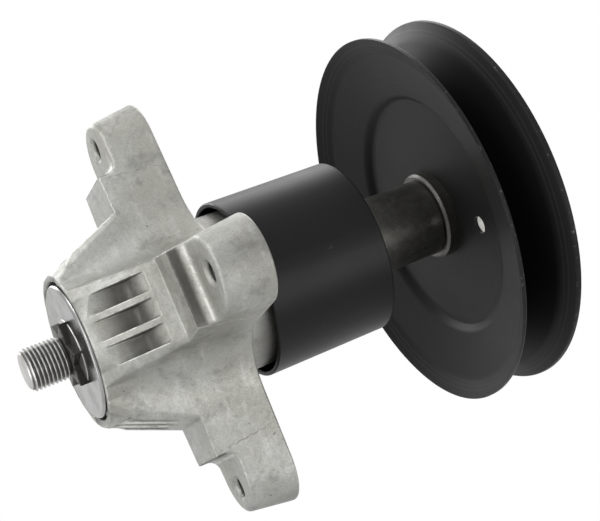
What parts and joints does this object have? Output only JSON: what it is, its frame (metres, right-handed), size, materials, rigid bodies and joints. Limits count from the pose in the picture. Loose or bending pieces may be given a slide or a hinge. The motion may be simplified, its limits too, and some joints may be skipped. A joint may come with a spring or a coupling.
{
  "type": "bearing housing",
  "caption": "Mower deck spindle: cast aluminium bearing housing with four ears, star-ended threaded shaft, black dust sleeve and pressed belt pulley",
  "frame": {"origin": "on the spindle axis at the deck face of the four ears", "axes": "+Z along the spindle axis towards the pulley, +X towards one ear, +Y towards the next ear"},
  "size_m": [0.1568, 0.1568, 0.1943],
  "materials": {
    "cast_aluminium": "matt as cast",
    "shaft_steel": "turned",
    "polished_steel": "polished",
    "bearing_steel": "ground",
    "ball_steel": "polished",
    "cage_steel": "pressed",
    "seal_rubber": "matt",
    "spacer_steel": "dark oxide",
    "black_plastic": "satin",
    "hub_steel": "dark oxide",
    "black_paint": "satin",
    "nut_steel": "zinc plated"
  },
  "bodies": {
    "housing_body": {"housing": "cast_aluminium", "lower_bearing_outer_ring": "bearing_steel", "lower_bearing_lower_seal": "seal_rubber", "lower_bearing_upper_seal": "seal_rubber", "upper_bearing_outer_ring": "bearing_steel", "upper_bearing_lower_seal": "seal_rubber", "upper_bearing_upper_seal": "seal_rubber", "dust_sleeve": "black_plastic"},
    "spindle": {"spindle_shaft": "shaft_steel", "lower_dust_shield": "polished_steel", "lower_bearing_inner_ring": "bearing_steel", "upper_bearing_inner_ring": "bearing_steel", "bearing_spacer": "spacer_steel", "spacer_tube": "spacer_steel", "pulley_hub": "hub_steel", "pulley_lower_half": "black_paint", "pulley_upper_half": "black_paint", "flange_nut": "nut_steel"},
    "lower_ball_set": {"lower_bearing_balls": "ball_steel", "lower_bearing_cage": "cage_steel"},
    "upper_ball_set": {"upper_bearing_balls": "ball_steel", "upper_bearing_cage": "cage_steel"}
  },
  "joints": [
    {"name": "spindle_spin", "type": "hinge", "parent": "housing_body", "child": "spindle", "pos_m": [0, 0, 0], "axis": [0, 0, 1], "continuous": true},
    {"name": "lower_cage_spin", "type": "hinge", "parent": "housing_body", "child": "lower_ball_set", "pos_m": [0, 0, -0.0253], "axis": [0, 0, 1], "continuous": true},
    {"name": "upper_cage_spin", "type": "hinge", "parent": "housing_body", "child": "upper_ball_set", "pos_m": [0, 0, 0.0445], "axis": [0, 0, 1], "continuous": true}
  ],
  "couplings": [
    {"joint": "lower_cage_spin", "follows": "spindle_spin", "ratio": 0.397},
    {"joint": "upper_cage_spin", "follows": "spindle_spin", "ratio": 0.397}
  ]
}
